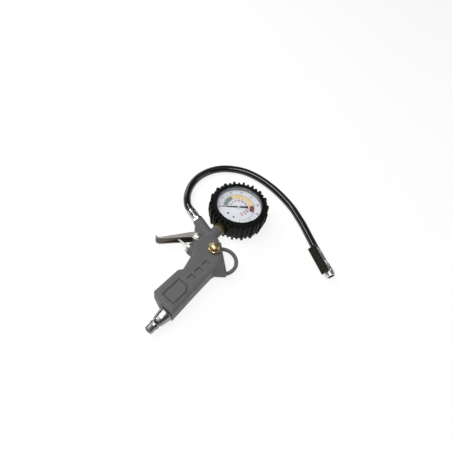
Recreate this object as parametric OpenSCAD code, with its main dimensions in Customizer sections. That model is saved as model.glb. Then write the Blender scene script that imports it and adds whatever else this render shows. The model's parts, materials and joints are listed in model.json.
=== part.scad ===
// Pistol tyre inflator with a dial gauge, a short hose and a clip-on chuck, lying on its side.
// Millimetres, +Z up from the table. +Y runs from the handle to the gauge, -X is the lever side.
// Every sub-part is drawn from the gauge's axis, and placed() moves it to the object's own origin.

/* [Body] */
// Thickness of the die-cast handle and head
body_t = 24; // [23:0.5:26]
// Radius of the barrel that the hose screws into
barrel_r = 6.9; // [6.6:0.1:7.4]
// Length of the barrel from the junction to its front face
barrel_len = 28.5; // [26:0.5:31]
// Direction of the barrel, from +X
barrel_angle = 163; // [160:1:166]
// Radius of the arm that carries the gauge
arm_r = 7.2; // [6.8:0.1:7.6]
// Radius of the hanging loop, at the middle of its bar
loop_r = 17.2; // [16.8:0.1:17.6]
// Radius of the hanging loop's bar
loop_bar_r = 2.4; // [2:0.1:2.6]

/* [Inlet] */
// Radius of the inlet plug's flange
plug_flange_r = 8.5; // [8.2:0.1:8.7]
// Radius of the inlet plug's nose
plug_nose_r = 5; // [4.8:0.1:5.2]
// Length of the inlet plug outside the handle
plug_len = 27.5; // [27:0.5:30]

/* [Lever] */
// Width of the pressed lever
lever_w = 14; // [13.5:0.1:14.5]
// Thickness of the lever's sheet
lever_sheet = 1.2; // [1:0.1:1.3]
// Length of the lever's web from its pivot to the start of its flare
lever_len = 43.5; // [40:0.5:46]
// Direction of the lever at rest, from +X
lever_angle = 236; // [235:0.5:237]

/* [Valves] */
// Travel of the main valve's stem
valve_travel = 4; // [3:0.5:4]
// Width of the bleed valve's hexagon across its flats
bleed_af = 14; // [13:0.5:14.5]
// Radius of the bleed valve's mushroom button
button_r = 5.6; // [5.2:0.1:5.8]

/* [Hose and chuck] */
// Outer diameter of the hose
hose_d = 10; // [9.5:0.5:10]
// Radius of the crimped ferrules
ferrule_r = 5.7; // [5.6:0.1:6]
// Roll of the chuck about its own axis, towards its lever
chuck_roll = 50; // [40:1:55]
// Radius of the bore that takes a tyre's valve
chuck_bore_r = 4.1; // [4:0.1:4.3]

/* [Gauge] */
// Radius of the gauge's steel case
case_r = 31; // [30.8:0.1:31.2]
// Radius of the rubber boot at the root of its ribs
boot_r = 34.8; // [34.4:0.1:35.2]
// Radius of the boot at the tips of its tall ribs
rib_r = 38.3; // [37.8:0.1:38.6]
// Number of ribs round the boot, tall and short in turn
rib_count = 36; // [32:4:40]
// Height of the boot
boot_h = 31.5; // [31:0.5:32]

/* [Hidden] */
$fn = 64;

// From the gauge's axis to the middle of the object's box without the hose and chuck
centre = [3.4, -75.5];
mid_z = body_t / 2;

// Head and handle, from the gauge's axis
junction = [0, -54];
arm_end_y = -39;
handle_end_y = -162;
inlet_x = 32;
valve_y = -83;
valve_face_x = -6;
valve_chamber_x = 15.4;
bleed_at = [19.5, -70];
pivot = [-9.3, -67.9];
loop_centre = [33.1, -69.75];
edge_round = 3.2;
lug_t = lever_w - 2 * lever_sheet - 0.6;

// Threads: the inlet is G1/4, and the gauge and the hose are G1/8
inlet_thread_r = 6.55;
port_thread_r = 4.85;
port_depth = 9;

// Lever, in its own frame: +X along the lever, +Y towards the handle
web_y = -7.9;
ear_r = 5.2;
flare_r = 5.5;
pin_r = 2;

// Main valve, along -X
stem_r = 1.5;
stem_tip_x = -26.95;
seat_x = 3;
flange_x = [5, 6.6];
gland_r = 6;
valve_gap = 0.25;

// Bleed valve, along +Z from the body's face
face_z = body_t;
bleed_thread_r = 5;
bleed_hex_t = 4;
washer_t = 0.8;
bleed_gap = 1.8;
hex_top_z = face_z + washer_t + bleed_hex_t;

// Hose end at the barrel, by distance from the junction
nut_t = 3.5;
ferrule_len = 15;
nut_start = barrel_len;
ferrule_start = nut_start + nut_t;
hose_start = ferrule_start + ferrule_len;

// Chuck, in its own frame: +X towards the mouth, +Z towards its lever
chuck_at = [105.5, 31, 6.9];
chuck_angle = -29;
chuck_r = 5.6;
chuck_head_r = 6.6;
chuck_grip_x = 27;
chuck_pivot = [29.3, 5.6];
spring_seat_z = 5;
chuck_plate_z = 9.2;
chuck_sheet = 1.1;
chuck_lever_w = 14.6;

// Route of the hose's centre line, from the gun's ferrule to the chuck's, leaving both squarely
gun_way = [cos(barrel_angle), sin(barrel_angle)];
chuck_way = [cos(chuck_angle), sin(chuck_angle)];
hose_from = junction + (hose_start + 0.05) * gun_way;
hose_to = [chuck_at.x, chuck_at.y] - 0.05 * chuck_way;
HOSE_ROUTE = [
    [hose_from.x, hose_from.y, mid_z],
    [hose_from.x + 2 * gun_way.x, hose_from.y + 2 * gun_way.y, mid_z],
    [-54, -36.4, 11.3], [-63, -28, 9.5], [-70, -18.5, 7.3], [-75.5, -8, 5.6], [-79, 3.5, 5],
    [-80, 16, 5], [-78, 29, 5], [-73, 41.5, 5], [-65, 52.5, 5], [-54, 62, 5], [-41.5, 69, 5], [-27, 73, 5],
    [-12, 74.5, 5], [3, 74, 5], [18, 72, 5], [33, 68.5, 5], [47, 64, 5], [60, 58, 5], [72, 52, 5],
    [83.5, 45, 5.2], [94.5, 38, 6],
    [hose_to.x - 2 * chuck_way.x, hose_to.y - 2 * chuck_way.y, chuck_at.z],
    [hose_to.x, hose_to.y, chuck_at.z]
];
hose_sides = 12;

// Gauge, by height above the table
case_back_z = 2;
case_top_z = 26.5;
dial_z = 23;
dial_t = 0.6;
pointer_z = 24.3;
lens_z = 28.2;
lens_t = 1.6;
bezel_top_z = 30.6;
window_r = 29;
zero_angle = 222;
screw_angles = [258, 287];
screw_ring_r = 17.5;

// Movement: the pinion turns nine times as far as the sector
gear_module = 0.3;
pinion_teeth = 10;
sector_teeth = 90;
gear_distance = gear_module * (pinion_teeth + sector_teeth) / 2;
sector_side = -60;
sector_at = gear_distance * [cos(sector_side), sin(sector_side)];
gear_z = 13.5;
tail_r = 5;
tube_r = 24;
tube_from = -10;
link_z = 16;
link_slot = 2.8;
link_tail = sector_at + tail_r * [cos(sector_side), sin(sector_side)];
tip_pin = [tube_r - 2.6, -1.6];
link_tip = [
    tip_pin.x * cos(tube_from) - tip_pin.y * sin(tube_from), tip_pin.x * sin(tube_from) + tip_pin.y * cos(tube_from)
];
tube_to = 258;

// ---- Shared shapes ----

module placed() translate([-centre.x, -centre.y, 0]) children();

// Turns children's +Z to point along the direction angle in the XY plane, from point p
module along(p, angle, z = mid_z) translate([p.x, p.y, z]) rotate([0, 0, angle]) rotate([0, 90, 0]) children();

// A ring about +Z
module ring(r_out, r_in, h) {
    difference() {
        cylinder(r = r_out, h = h);
        translate([0, 0, -1]) cylinder(r = r_in, h = h + 2);
    }
}

// A hexagon across flats af, about +Z
module hexagon(af, h) cylinder(r = af / sqrt(3), h = h, $fn = 6);

// A convex plate with rounded long edges, centred on the body's middle plane
module plate(points, t, e) {
    hull() {
        for (k = [0:3]) {
            a = 30 * k;
            inset = e * (1 - cos(a));
            h = t - 2 * e * (1 - sin(a));
            translate([0, 0, mid_z - h / 2]) linear_extrude(h) offset(delta = -inset) polygon(points);
        }
    }
}

// Unit tangent of a route at point i
function tangent(p, i) =
    let (a = p[max(i - 1, 0)], b = p[min(i + 1, len(p) - 1)])
    (b - a) / norm(b - a);

// Ring of n points, radius r, square to direction t at point c
function ring_at(c, t, r, n) =
    let (side = cross(t, [0, 0, 1]) / norm(cross(t, [0, 0, 1])), up = cross(side, t))
    [for (k = [0:n - 1]) c + r * (cos(360 * k / n) * side + sin(360 * k / n) * up)];

// A closed tube of n sides swept along route p
module swept(p, r, n) {
    rings = len(p);
    points = [for (i = [0:rings - 1]) each ring_at(p[i], tangent(p, i), r, n)];
    walls = [
        for (i = [0:rings - 2], k = [0:n - 1])
            let (a = i * n + k, b = i * n + (k + 1) % n)
            [a, b, b + n, a + n]
    ];
    first = [for (k = [n - 1:-1:0]) k];
    last = [for (k = [0:n - 1]) (rings - 1) * n + k];
    polyhedron(points, concat([first], walls, [last]), convexity = 10);
}

// A coil spring about +Z, standing on z = 0, with its ends inside its height
module coil(r, wire_r, h, turns) {
    steps = turns * 14;
    route = [for (i = [0:steps])
        let (a = 360 * turns * i / steps)
        [r * cos(a), r * sin(a), wire_r + (h - 2 * wire_r) * i / steps]];
    swept(route, wire_r, 6);
}

// A toothed outline: teeth from index first to last, on a gear of count teeth
function toothed(count, first, last) =
    let (pitch_r = gear_module * count / 2, step = 360 / count)
    [for (i = [first:last], c = [[-0.3, -1.2], [-0.13, 0.85], [0.13, 0.85], [0.3, -1.2]])
        let (a = (i + c[0]) * step, r = pitch_r + c[1] * gear_module)
        [r * cos(a), r * sin(a)]];

// ---- Die-cast body ----

module handle_shape() {
    plate([[6.5, -118.5], [6.4, -155.7], [23.2, handle_end_y], [40.6, handle_end_y], [36.5, -90], [26, -90]], body_t, 4.5);
    plate([[11, -116], [7, -93], [2, -84], [36.5, -84], [37.5, -116]], body_t, edge_round);
}

module head_shape() {
    plate([[-5, -78], [-4.5, -66], [8, -65], [12.5, -56], [19, -56.2], [25.5, -61.5], [38, -90], [4, -92]], body_t, edge_round);
    // A fin that thins towards the hanging loop
    hull() {
        plate([[20, -60], [25.5, -62], [31, -67], [37.2, -88], [30, -90]], body_t, edge_round);
        plate([[44, -76], [48.8, -79.6], [49.6, -81], [48.6, -82.8], [43, -84]], 9, 2);
    }
}

module lever_lug() {
    translate([0, 0, mid_z - lug_t / 2]) linear_extrude(lug_t) {
        polygon([[-26, -50], [-22, -58.5], [-13.5, -65.5], [-12, -71.5], [-3, -76], [4, -60], [-4, -50]]);
        translate(pivot) circle(r = 4.9);
    }
}

module hanging_loop() {
    translate([loop_centre.x, loop_centre.y, mid_z]) rotate([0, 0, -38]) rotate_extrude(angle = 190)
        translate([loop_r, 0]) circle(r = loop_bar_r);
}

module grip_marks() {
    // A raised grip panel and three stepped bars on each side of the handle
    for (side = [0, 1]) {
        z = side == 0 ? -0.01 : body_t - 1.19;
        translate([0, 0, z]) linear_extrude(1.2) difference() {
            polygon([[16.3, -153.5], [34.2, -153.5], [34.2, -131.8], [29.4, -125.8], [16.3, -125.8]]);
            polygon([[18, -151.8], [32.5, -151.8], [32.5, -132.4], [28.6, -127.5], [18, -127.5]]);
        }
        for (k = [0:2]) {
            translate([22.2, -120 + 12.2 * k, z]) cube([1.7, 7.5, 1.2]);
            translate([22.2, -113.6 + 12.2 * k, z]) cube([6.6, 1.7, 1.2]);
        }
    }
}
module body_bores() {
    // Inlet thread and air passage
    along([inlet_x, handle_end_y - 5], 90) cylinder(r = inlet_thread_r, h = 18);
    along([inlet_x, handle_end_y - 5], 90) cylinder(r = 3, h = valve_y - handle_end_y + 5);
    // Main valve: chamber, gland thread and the way in from the handle
    along([valve_chamber_x, valve_y], 180) cylinder(r = 4.6, h = 30);
    along([seat_x, valve_y], 180) cylinder(r = gland_r, h = 20);
    along([inlet_x, valve_y], 180) cylinder(r = 2.6, h = inlet_x - valve_chamber_x + 1);
    // From the valve's seat to the junction, the gauge and the hose
    along([1, valve_y], 90) cylinder(r = 1.6, h = junction.y - valve_y);
    along([0, junction.y - 3.1], 90) cylinder(r = 3, h = 22);
    along([0, arm_end_y - port_depth], 90) cylinder(r = port_thread_r, h = 20);
    along(junction, barrel_angle) cylinder(r = 2.3, h = 40);
    along(junction, barrel_angle) translate([0, 0, barrel_len - port_depth]) cylinder(r = port_thread_r, h = 20);
    // Bleed valve and its passage
    translate([bleed_at.x, bleed_at.y, 10.5]) cylinder(r = bleed_thread_r, h = 20);
    along([1, bleed_at.y], 0) cylinder(r = 1.5, h = bleed_at.x - 1);
    // Lever's pin
    translate([pivot.x, pivot.y, -1]) cylinder(r = pin_r, h = body_t + 2);
}

module lever_clearance() {
    // Slots beside the lug that the lever's ears turn in
    for (z = [mid_z - lever_w / 2 - 1.2, mid_z + lug_t / 2])
        translate([pivot.x, pivot.y, z]) cylinder(r = ear_r + 0.8, h = lever_sheet + 1.5);
}

module body() placed() color("dimgray") difference() {
    union() {
        handle_shape();
        head_shape();
        lever_lug();
        hanging_loop();
        along(junction, barrel_angle) translate([0, 0, -10]) cylinder(r = barrel_r, h = barrel_len + 10);
        along([0, junction.y - 12], 90) cylinder(r = arm_r, h = arm_end_y - junction.y + 12);
        along([4, valve_y], 180) cylinder(r = 7.5, h = 4 - valve_face_x);
        translate([bleed_at.x, bleed_at.y, mid_z]) cylinder(r = 9, h = face_z - mid_z);
    }
    body_bores();
    lever_clearance();
    grip_marks();
}

// ---- Inlet ----

module inlet_plug() placed() color("silver") along([inlet_x, handle_end_y - 1], -90) difference() {
    n = plug_nose_r;
    rotate_extrude() polygon([
        [0, -13], [inlet_thread_r - 0.8, -13], [inlet_thread_r, -12], [inlet_thread_r, 0], [plug_flange_r, 0],
        [plug_flange_r, 1.2], [7, 9.5], [6.6, 9.5], [6.6, 12.6], [4.6, 12.7], [4.6, 13.7], [n, 14.2], [n + 0.9, 16],
        [n + 0.9, 17.2], [n + 0.2, 19], [n, 19.6], [n, plug_len - 2], [n - 0.6, plug_len - 1], [0, plug_len - 1]
    ]);
    translate([0, 0, -14]) cylinder(r = 2.9, h = plug_len + 15);
}

module inlet_seal() placed() color("black") along([inlet_x, handle_end_y - 1], 90) ring(8.2, inlet_thread_r, 1);

// ---- Lever ----

module in_lever() translate([pivot.x, pivot.y, mid_z]) rotate([0, 0, lever_angle]) children();

module lever_flange() {
    linear_extrude(lever_sheet) difference() {
        union() {
            circle(r = ear_r);
            polygon([
                [0, -ear_r], [4, web_y], [lever_len, web_y], [lever_len, web_y + 1.4], [25.5, -4.3], [5, -1], [0, 2]
            ]);
        }
        circle(r = pin_r + 0.06);
    }
}

module lever() placed() color("silver") in_lever() {
    for (z = [-lever_w / 2, lever_w / 2 - lever_sheet]) translate([0, 0, z]) lever_flange();
    translate([4, web_y, -lever_w / 2]) cube([lever_len - 4, lever_sheet, lever_w]);
    translate([lever_len, web_y - flare_r + lever_sheet, 0]) rotate_extrude(angle = 80, start = 10)
        translate([flare_r - lever_sheet, -lever_w / 2]) square([lever_sheet, lever_w]);
}

module lever_pin() placed() color("gainsboro") translate([pivot.x, pivot.y, mid_z]) {
    translate([0, 0, -lever_w / 2 - 2.2]) cylinder(r = pin_r, h = lever_w + 2.4);
    translate([0, 0, lever_w / 2 + 0.1]) intersection() {
        cylinder(r = 4.4, h = 3.8);
        translate([0, 0, -2.7]) sphere(r = 6.5);
    }
    translate([0, 0, lever_w / 2 + 0.1]) cylinder(r = 4.9, h = 1);
}

module lever_pin_clip() placed() color("silver") translate([pivot.x, pivot.y, mid_z - lever_w / 2 - 1.1])
    ring(3.2, pin_r, 0.9);

// ---- Main valve ----

module valve_gland() placed() color("silver") along([seat_x, valve_y], 180) {
    face = seat_x - valve_face_x;
    difference() {
        union() {
            cylinder(r = gland_r, h = face);
            translate([0, 0, face]) cylinder(r = 6.7, h = 3);
        }
        translate([0, 0, -1]) cylinder(r = stem_r + 0.8, h = 6.4);
        translate([0, 0, 5.4]) cylinder(r = stem_r + 1.3, h = 2);
        translate([0, 0, 5]) cylinder(r = stem_r + 0.08, h = face);
        translate([0, 0, 1]) ring(gland_r + 1, gland_r - 1, 2.2);
        translate([-10, 0, 2]) rotate([0, 90, 0]) cylinder(r = 0.8, h = 20);
    }
}

module stem_oring() placed() color("black") along([seat_x - 5.4, valve_y], 180) ring(stem_r + 1.25, stem_r + 0.05, 1.9);

module valve_stem() placed() color("gainsboro") along([flange_x[1] + 3, valve_y], 180) {
    front = flange_x[1] + 3 - stem_tip_x;
    cylinder(r = stem_r, h = front - stem_r);
    translate([0, 0, front - stem_r]) sphere(r = stem_r);
    translate([0, 0, 3]) cylinder(r = 3.7, h = flange_x[1] - flange_x[0]);
}

module poppet_seal() placed() color("black") along([flange_x[0], valve_y], 180) ring(3.7, stem_r, flange_x[0] - seat_x - 0.05);

module valve_spring() placed() color("silver") along([valve_chamber_x - 0.1, valve_y], 180)
    coil(2.9, 0.4, valve_chamber_x - 0.2 - flange_x[1], 5);

// ---- Bleed valve ----

module bleed_body() placed() color("goldenrod") translate([bleed_at.x, bleed_at.y, 0]) difference() {
    union() {
        translate([0, 0, 13]) cylinder(r = bleed_thread_r, h = face_z + washer_t - 13);
        translate([0, 0, face_z + washer_t]) hexagon(bleed_af, bleed_hex_t);
    }
    translate([0, 0, 12]) cylinder(r = 3.7, h = 6);
    translate([0, 0, 12]) cylinder(r = 1.9, h = 20);
    translate([0, 0, face_z]) cylinder(r = 4.2, h = 10);
}

module bleed_washer() placed() color("sienna") translate([bleed_at.x, bleed_at.y, face_z]) ring(6.8, bleed_thread_r, washer_t);

module bleed_button() placed() color("gold") translate([bleed_at.x, bleed_at.y, 0]) {
    translate([0, 0, 14]) cylinder(r = 1.5, h = hex_top_z + bleed_gap - 13);
    translate([0, 0, hex_top_z + bleed_gap]) intersection() {
        cylinder(r = button_r, h = 4);
        translate([0, 0, 3 - 7.5]) sphere(r = 7.5);
    }
}

module bleed_spring() placed() color("silver") translate([bleed_at.x, bleed_at.y, face_z + 0.05])
    coil(3.2, 0.35, hex_top_z + bleed_gap - face_z - 0.1, 5);

module bleed_poppet_seal() placed() color("black") translate([bleed_at.x, bleed_at.y, 16.3]) ring(3.2, 1.5, 1.65);

module bleed_retainer() placed() color("goldenrod") translate([bleed_at.x, bleed_at.y, 14.5]) ring(3.2, 1.5, 1.8);

// ---- Hose end at the barrel ----

module hose_nipple() placed() color("silver") along(junction, barrel_angle) difference() {
    union() {
        translate([0, 0, nut_start - port_depth + 0.5]) cylinder(r = port_thread_r, h = port_depth);
        translate([0, 0, nut_start]) hexagon(11.5, nut_t);
        translate([0, 0, ferrule_start]) cylinder(r = 2.6, h = ferrule_len - 1);
    }
    translate([0, 0, nut_start - 10]) cylinder(r = 1.5, h = 40);
}

module ferrule(len, r_in) {
    // A sleeve with two crimped grooves
    difference() {
        cylinder(r = ferrule_r, h = len);
        translate([0, 0, -1]) cylinder(r = r_in, h = len + 2);
        for (z = [len * 0.3, len * 0.66]) translate([0, 0, z]) ring(ferrule_r + 1, ferrule_r - 0.5, 1.2);
    }
}

module gun_ferrule() placed() color("gainsboro") along(junction, barrel_angle) translate([0, 0, ferrule_start])
    ferrule(ferrule_len, 2.65);

module hose() placed() color("black") swept(HOSE_ROUTE, hose_d / 2, hose_sides);

// ---- Chuck ----

module in_chuck() translate(chuck_at) rotate([0, 0, chuck_angle]) rotate([chuck_roll, 0, 0]) children();

module chuck_tube(x, r, h) translate([x, 0, 0]) rotate([0, 90, 0]) cylinder(r = r, h = h);

module chuck_ferrule() placed() color("gainsboro") in_chuck() rotate([0, 90, 0]) ferrule(11, 2.65);

module chuck_body() placed() color("silver") in_chuck() difference() {
    union() {
        chuck_tube(1, 2.6, 10);
        chuck_tube(11, chuck_r, 18);
        chuck_tube(26, chuck_head_r - 0.2, 10);
        translate([26, -4.2, 0]) cube([6.6, 8.4, chuck_pivot.y + 1.8]);
    }
    chuck_tube(0, 1.5, 30);
    chuck_tube(24, chuck_bore_r + 0.3, 15);
    across(chuck_pivot.x, chuck_pivot.y, 1, 20);
    // Room beside the pivot block for the lever's ears
    for (y = [-12.2, 4.2]) translate([20.5, y, 2.2]) cube([20, 8, 10]);
    // Slot that the lever's claw reaches the valve through
    translate([33, -2.6, 2]) cube([2.6, 5.2, 8]);
    // Spring seat
    translate([11.5, -6, spring_seat_z]) cube([8, 12, 4]);
}

// A cylinder across the chuck, along its own Y
module across(x, z, r, h) translate([x, h / 2, z]) rotate([90, 0, 0]) cylinder(r = r, h = h);

module chuck_seal() placed() color("black") in_chuck() translate([24, 0, 0]) rotate([0, 90, 0]) ring(4.35, 1.6, 3);

module chuck_depressor() placed() color("goldenrod") in_chuck() {
    chuck_tube(21, 0.7, 9);
    translate([22, -1.45, -0.35]) cube([0.9, 2.9, 0.7]);
    translate([22, -0.35, -1.45]) cube([0.9, 0.7, 2.9]);
}

module chuck_cap() placed() color("gainsboro") in_chuck() translate([36, 0, 0]) rotate([0, 90, 0]) difference() {
    union() {
        cylinder(r = chuck_head_r, h = 3);
        translate([0, 0, 3]) cylinder(r = 6, h = 2.4);
    }
    translate([0, 0, -1]) cylinder(r = chuck_bore_r, h = 8);
    translate([0, 0, 1.2]) ring(chuck_head_r + 1, chuck_head_r - 0.5, 0.8);
}

module chuck_lever() placed() color("silver") in_chuck() difference() {
    h = chuck_plate_z - chuck_pivot.y + chuck_sheet;
    union() {
        translate([-1.5, -5.6, chuck_plate_z]) cube([38, 11.2, chuck_sheet]);
        translate([33.6, -2.4, chuck_bore_r + 0.4]) cube([1.4, 4.8, chuck_plate_z - chuck_bore_r]);
        for (y = [-5.6, 5.6 - chuck_sheet]) {
            translate([chuck_pivot.x - 6, y, chuck_pivot.y + 1]) cube([12.5, chuck_sheet, h - 1]);
            translate([0, y + chuck_sheet / 2, 0]) across(chuck_pivot.x, chuck_pivot.y, 2.6, chuck_sheet);
        }
    }
    across(chuck_pivot.x, chuck_pivot.y, 1.06, 20);
}

module chuck_lever_pin() placed() color("silver") in_chuck() across(chuck_pivot.x, chuck_pivot.y, 1, 12.4);

module chuck_spring() placed() color("silver") in_chuck() translate([15.5, 0, spring_seat_z + 0.05])
    coil(2.2, 0.3, chuck_plate_z - spring_seat_z - 0.1, 3);

// ---- Gauge ----

module gauge_socket() placed() color("goldenrod") difference() {
    union() {
        along([0, arm_end_y - port_depth + 0.5], 90) cylinder(r = port_thread_r, h = port_depth + 1);
        along([0, arm_end_y + 0.6], 90) rotate([0, 0, 30]) hexagon(15, 7);
        along([0, arm_end_y + 7], 90) cylinder(r = 5.5, h = 8.6);
        translate([-6, -29, 6.5]) cube([12, 8, 11]);
        translate([-6, -21.5, 6.5]) cube([14.5, 9, 2.5]);
    }
    along([0, arm_end_y - port_depth], 90) cylinder(r = 1.5, h = 26.6);
    for (x = [-3, 3]) translate([x, -16.5, 6]) cylinder(r = 0.9, h = 4);
}

module gauge_washer() placed() color("ivory") along([0, arm_end_y], 90) ring(6.9, port_thread_r, 0.6);

module gauge_case() placed() color("black") difference() {
    translate([0, 0, case_back_z]) cylinder(r = case_r, h = case_top_z - case_back_z, $fn = 96);
    translate([0, 0, case_back_z + 1]) cylinder(r = case_r - 0.9, h = 30, $fn = 96);
    along([0, -20], -90) cylinder(r = 5.6, h = 20);
}

module gauge_bezel() placed() color("gray") rotate_extrude($fn = 96) polygon([
    [case_r + 0.05, 22.5], [case_r + 0.6, 22.5], [case_r + 0.6, bezel_top_z - 0.8], [case_r - 0.4, bezel_top_z],
    [window_r, bezel_top_z], [window_r, lens_z + lens_t], [window_r + 1, lens_z + lens_t], [window_r + 1, case_top_z],
    [case_r + 0.05, case_top_z]
]);

module lens_gasket() placed() color("black") translate([0, 0, dial_z + dial_t])
    ring(window_r + 0.9, window_r - 0.8, lens_z - dial_z - dial_t);

module gauge_lens() placed() color("white", 0.3) translate([0, 0, lens_z]) cylinder(r = window_r + 0.9, h = lens_t, $fn = 96);

module dial_plate() placed() color("white") translate([0, 0, dial_z]) difference() {
    cylinder(r = window_r + 0.5, h = dial_t, $fn = 96);
    translate([0, 0, -1]) cylinder(r = 1.2, h = 3);
    for (a = screw_angles) rotate([0, 0, a]) translate([screw_ring_r, 0, -1]) cylinder(r = 0.8, h = 3);
}

module dial_screws() placed() color("dimgray") for (a = screw_angles) rotate([0, 0, a]) translate([screw_ring_r, 0, 0]) {
    translate([0, 0, dial_z - 3]) cylinder(r = 0.75, h = 3 + dial_t);
    translate([0, 0, dial_z + dial_t]) difference() {
        cylinder(r = 1.3, h = 0.5);
        translate([-2, -0.15, 0.25]) cube([4, 0.3, 1]);
    }
}

module stop_pin() placed() color("black") rotate([0, 0, zero_angle + 4.8]) translate([13, 0, dial_z + dial_t])
    cylinder(r = 0.45, h = 1.4);

module pointer() placed() color("black") translate([0, 0, pointer_z]) difference() {
    rotate([0, 0, zero_angle]) {
        linear_extrude(0.3) polygon([[-12, -1.4], [-12, 1.4], [0, 1], [21.5, 0.25], [21.5, -0.25], [0, -1]]);
        translate([0, 0, -0.3]) cylinder(r = 1.9, h = 1.1);
    }
    translate([0, 0, -1]) cylinder(r = 0.5, h = 1.5);
}

module pinion_arbor() placed() color("goldenrod") {
    translate([0, 0, 8.5]) cylinder(r = 0.45, h = pointer_z + 0.4 - 8.5);
    translate([0, 0, gear_z - 0.8]) linear_extrude(2.6) rotate([0, 0, sector_side + 180 / pinion_teeth])
        polygon(toothed(pinion_teeth, 0, pinion_teeth - 1));
}

module hairspring() placed() color("silver") translate([0, 0, 16.4]) linear_extrude(0.4) {
    turns = 3.5;
    steps = 56;
    inner = [for (i = [0:steps]) let (a = 360 * turns * i / steps, r = 0.7 + 3.6 * i / steps) [r * cos(a), r * sin(a)]];
    outer = [for (i = [steps:-1:0]) let (a = 360 * turns * i / steps, r = 0.95 + 3.6 * i / steps) [r * cos(a), r * sin(a)]];
    polygon(concat(inner, outer));
}

module sector_gear() placed() color("goldenrod") translate([sector_at.x, sector_at.y, gear_z]) linear_extrude(1) {
    // Teeth lie behind the line of centres, so the whole swing stays in mesh
    difference() {
        union() {
            rotate([0, 0, sector_side + 180]) polygon(concat([[0, 0]], toothed(sector_teeth, -9, 2)));
            circle(r = 2.2);
            rotate([0, 0, sector_side]) translate([0, -1.2]) square([tail_r + 1.1, 2.4]);
        }
        circle(r = 0.6);
        rotate([0, 0, sector_side]) translate([tail_r, 0]) circle(r = 0.5);
    }
}

module link_pin() placed() color("silver") translate([link_tail.x, link_tail.y, gear_z + 0.2]) {
    cylinder(r = 0.5, h = link_z + 0.9 - gear_z - 0.2);
    translate([0, 0, link_z + 0.6 - gear_z - 0.2]) cylinder(r = 0.9, h = 0.3);
}

module sector_arbor() placed() color("goldenrod") translate([sector_at.x, sector_at.y, 9.05]) cylinder(r = 0.6, h = 10.45);

module drive_link() placed() color("silver") translate([link_tail.x, link_tail.y, link_z])
    rotate([0, 0, atan2(link_tip.y - link_tail.y, link_tip.x - link_tail.x)]) linear_extrude(0.5) difference() {
        reach = norm(link_tip - link_tail);
        union() {
            circle(r = 1.2);
            translate([0, -1.1]) square([reach, 2.2]);
            translate([reach, 0]) circle(r = 1.1);
        }
        circle(r = 0.56);
        for (x = [reach - link_slot, reach]) translate([x, 0]) circle(r = 0.65);
        translate([reach - link_slot, -0.65]) square([link_slot, 1.3]);
    }

module movement_screws() placed() color("gainsboro") for (x = [-3, 3]) translate([x, -16.5, 0]) difference() {
    union() {
        translate([0, 0, 7]) cylinder(r = 0.9, h = 3.2);
        translate([0, 0, 10]) cylinder(r = 1.6, h = 0.9);
    }
    translate([-2, -0.2, 10.5]) cube([4, 0.4, 1]);
}

module movement_shape() {
    circle(r = 4);
    translate(sector_at) circle(r = 4);
    rotate([0, 0, sector_side]) translate([0, -4]) square([gear_distance, 8]);
    translate([-8, -20.9]) square([17.5, 11]);
}

module movement_plate(z) translate([0, 0, z]) linear_extrude(1) difference() {
    movement_shape();
    if (z < mid_z) for (x = [-3, 3]) translate([x, -16.5]) circle(r = 0.9);
    circle(r = 0.5);
    translate(sector_at) circle(r = 0.65);
}

module movement_back_plate() placed() color("goldenrod") movement_plate(9);

module movement_front_plate() placed() color("goldenrod") movement_plate(18);

module movement_pillars() placed() color("goldenrod") {
    for (p = [[-6, -18.5], [5, -18.6]]) translate([p.x, p.y, 10]) cylinder(r = 1.2, h = 8);
    for (a = screw_angles) rotate([0, 0, a]) translate([screw_ring_r, 0, 19]) difference() {
        cylinder(r = 1.6, h = dial_z - 19);
        translate([0, 0, dial_z - 19 - 3.2]) cylinder(r = 0.75, h = 4);
    }
}

module bourdon_tube() placed() color("goldenrod") translate([0, 0, mid_z]) rotate([0, 0, tube_from])
    rotate_extrude(angle = tube_to - tube_from, $fn = 96) translate([tube_r, 0]) {
        square([1.8, 6], center = true);
        for (s = [-1, 1]) translate([0, 3 * s]) circle(r = 0.9);
    }

module tube_tip() placed() color("goldenrod") rotate([0, 0, tube_from]) translate([tube_r, 0, mid_z]) {
    translate([-4, -3.2, -3]) cube([5.4, 3.2, 6]);
    translate([-2.6, -1.6, 3]) cylinder(r = 0.5, h = link_z + 0.9 - mid_z - 3);
    translate([-2.6, -1.6, link_z + 0.6 - mid_z]) cylinder(r = 0.9, h = 0.3);
}

module boot_profile(r_out, r_top, top_z) polygon([
    [24, 0], [r_out - 3.4, 0], [r_out - 2.2, 1.5], [r_out, boot_h / 2], [r_out, top_z - 1.5],
    [r_out - 0.3, top_z], [r_top, boot_h - 0.5],
    [r_top - 1.2, boot_h], [window_r + 0.2, boot_h], [window_r + 0.2, boot_h - 0.8], [case_r + 0.7, boot_h - 0.8],
    [case_r + 0.7, 22.3], [case_r + 0.1, 22.3], [case_r + 0.1, case_back_z - 0.1], [24, case_back_z - 0.1]
]);

module boot_ribs(first, r_tip, width) {
    intersection() {
        for (i = [first:2:rib_count - 1]) rotate([0, 0, 360 * i / rib_count]) translate([case_r + 1, -width / 2, 0])
            cube([rib_r - case_r, width, boot_h]);
        rotate_extrude($fn = 96) boot_profile(r_tip, r_tip - 1.2, boot_h - 2);
    }
}

module gauge_boot() placed() color("black") difference() {
    union() {
        rotate_extrude($fn = 96) boot_profile(boot_r, boot_r - 1.6, boot_h - 5);
        boot_ribs(0, rib_r, 2.7);
        boot_ribs(1, rib_r - 1.5, 2.5);
    }
    // A way through for the gauge's stem and a spanner
    along([0, -26], -90) cylinder(r = 9.2, h = 20);
    translate([-9.2, -46, mid_z]) cube([18.4, 20, 14.5]);
}

// ---- What is drawn ----

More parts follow.
